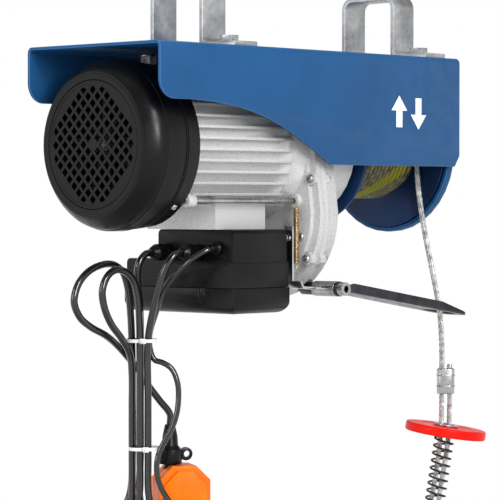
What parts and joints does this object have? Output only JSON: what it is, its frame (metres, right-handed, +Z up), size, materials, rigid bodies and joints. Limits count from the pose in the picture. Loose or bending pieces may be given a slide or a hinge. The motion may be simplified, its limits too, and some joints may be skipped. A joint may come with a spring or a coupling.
{
  "type": "electric wire rope hoist",
  "caption": "Electric wire rope hoist: finned motor, gearbox and rope drum under a folded frame, with a hook, limit lever and hanging pendant.",
  "frame": {"origin": "centre of the frame's top plate, on its upper face, where the beam is clamped", "axes": "+X from the fan to the drum along the motor axis, -Y the side that the rope and lever are on, +Z up"},
  "size_m": [0.5096, 0.2236, 0.7363],
  "materials": {
    "blue_paint": "semi-gloss sprayed paint",
    "drum_paint": "semi-gloss sprayed paint, darker and greased",
    "galvanised": "mottled galvanised sheet",
    "zinc_hardware": "zinc plated, satin",
    "cast_aluminium": "die cast, fine grain, matt",
    "inner_steel": "machined",
    "copper": "varnished copper wire",
    "black_plastic": "fine textured moulding",
    "greased_rope": "stranded wire, greased",
    "wire_rope": "stranded wire",
    "red_plastic": "smooth gloss",
    "spring_steel": "oil-blacked wire",
    "forged_steel": "black lacquer on forged steel",
    "bright_zinc": "bright zinc plate",
    "dark_steel": "oil-blacked with bright edges",
    "yellow_zinc": "yellow passivated spring wire",
    "capacitor_can": "drawn can",
    "black_cord": "smooth flexible jacket",
    "orange_plastic": "smooth gloss moulding"
  },
  "bodies": {
    "root": {"frame_channel": "blue_paint", "drum_end_plate": "blue_paint", "beam_bracket_1": "galvanised", "beam_bracket_2": "galvanised", "bracket_bolt_1": "zinc_hardware", "bracket_bolt_2": "zinc_hardware", "bracket_bolt_3": "zinc_hardware", "bracket_bolt_4": "zinc_hardware", "motor_housing": "cast_aluminium", "gearbox_housing": "cast_aluminium", "gearbox_cover": "cast_aluminium", "stator_core": "inner_steel", "motor_bearing_rear": "inner_steel", "motor_bearing_front": "inner_steel", "drum_bearing_inner": "inner_steel", "drum_bearing_outer": "inner_steel", "stator_winding": "copper", "fan_cover": "black_plastic", "fan_grille": "black_plastic", "tie_rod_near": "zinc_hardware", "tie_rod_far": "zinc_hardware", "rope_fall": "wire_rope", "pivot_screw": "dark_steel", "return_spring": "yellow_zinc", "box_body": "black_plastic", "box_lid": "black_plastic", "capacitor": "capacitor_can", "limit_switch": "black_plastic", "gland_far": "black_plastic", "gland_near": "black_plastic", "control_cord": "black_cord", "mains_cord": "black_cord", "stop_cord": "black_cord", "mains_plug": "black_plastic", "pendant_front": "orange_plastic", "pendant_back": "orange_plastic", "pendant_boot": "black_plastic", "foot_bush": "black_plastic"},
    "rotor": {"rotor_core": "inner_steel", "rotor_shaft": "inner_steel", "cooling_fan": "black_plastic"},
    "idler": {"idler_gear": "inner_steel"},
    "drum_body": {"drum": "drum_paint", "rope_winding": "greased_rope", "drum_shaft": "inner_steel", "drum_gear": "inner_steel"},
    "hook_block": {"ferrule": "zinc_hardware", "rope_eye": "wire_rope", "buffer_spring": "spring_steel", "spring_seat": "zinc_hardware", "hook_yoke": "zinc_hardware", "yoke_pin": "zinc_hardware"},
    "disc": {"stop_disc": "red_plastic"},
    "hook_body": {"hook": "forged_steel"},
    "latch": {"hook_latch": "zinc_hardware"},
    "lever": {"limit_lever": "dark_steel", "lever_strap": "bright_zinc"},
    "plunger": {"switch_plunger": "bright_zinc"},
    "stop_push": {"stop_button": "red_plastic"},
    "rocker_body": {"rocker": "black_plastic"}
  },
  "joints": [
    {"name": "drum_spin", "type": "hinge", "parent": "root", "child": "drum_body", "pos_m": [0, 0, -0.101], "axis": [-1, 0, 0], "range_deg": [0, 114]},
    {"name": "hook_lift", "type": "slide", "parent": "root", "child": "hook_block", "axis": [0, 0, 1], "range_m": [0, 0.10209], "deforming": ["rope_fall"]},
    {"name": "idler_spin", "type": "hinge", "parent": "root", "child": "idler", "pos_m": [0, -0.018, -0.16137], "axis": [-1, 0, 0], "range_deg": [-596, 0]},
    {"name": "rotor_spin", "type": "hinge", "parent": "root", "child": "rotor", "pos_m": [0, 0, -0.101], "axis": [-1, 0, 0], "range_deg": [0, 3573]},
    {"name": "lever_tilt", "type": "hinge", "parent": "root", "child": "lever", "pos_m": [0.036, -0.076, -0.25], "axis": [0, -1, 0], "range_deg": [0, 3.2], "stiffness_Nm_per_rad": 2, "springref_deg": -2.86},
    {"name": "plunger_push", "type": "slide", "parent": "root", "child": "plunger", "axis": [-1, 0, 0], "range_m": [0, 0.00302]},
    {"name": "disc_slide", "type": "slide", "parent": "hook_block", "child": "disc", "axis": [-0.1022, 0.1068, -0.989], "range_m": [0, 0.018], "stiffness_N_per_m": 1500, "springref_m": -0.002, "deforming": ["buffer_spring"]},
    {"name": "hook_swivel", "type": "hinge", "parent": "hook_block", "child": "hook_body", "pos_m": [0.21818, -0.05998, -0.56135], "axis": [-0.1022, 0.1068, -0.989], "continuous": true},
    {"name": "latch_open", "type": "hinge", "parent": "hook_body", "child": "latch", "pos_m": [0.20777, -0.05767, -0.58227], "axis": [-0.0055, -0.9943, -0.1068], "range_deg": [0, 30], "stiffness_Nm_per_rad": 0.02, "springref_deg": -17.19},
    {"name": "stop_press", "type": "slide", "parent": "root", "child": "stop_push", "axis": [0.5, 0.866, 0], "range_m": [0, 0.004], "stiffness_N_per_m": 400, "springref_m": -0.001},
    {"name": "rocker_tilt", "type": "hinge", "parent": "root", "child": "rocker_body", "pos_m": [-0.09568, 0.00494, -0.531], "axis": [0.866, -0.5, 0], "range_deg": [-6, 6], "stiffness_Nm_per_rad": 0.2}
  ],
  "couplings": [
    {"joint": "hook_lift", "follows": "drum_spin", "m_per_rad": 0.0513},
    {"joint": "idler_spin", "follows": "drum_spin", "ratio": -5.2222},
    {"joint": "rotor_spin", "follows": "drum_spin", "ratio": 31.333},
    {"joint": "plunger_push", "follows": "lever_tilt", "m_per_rad": 0.054}
  ]
}
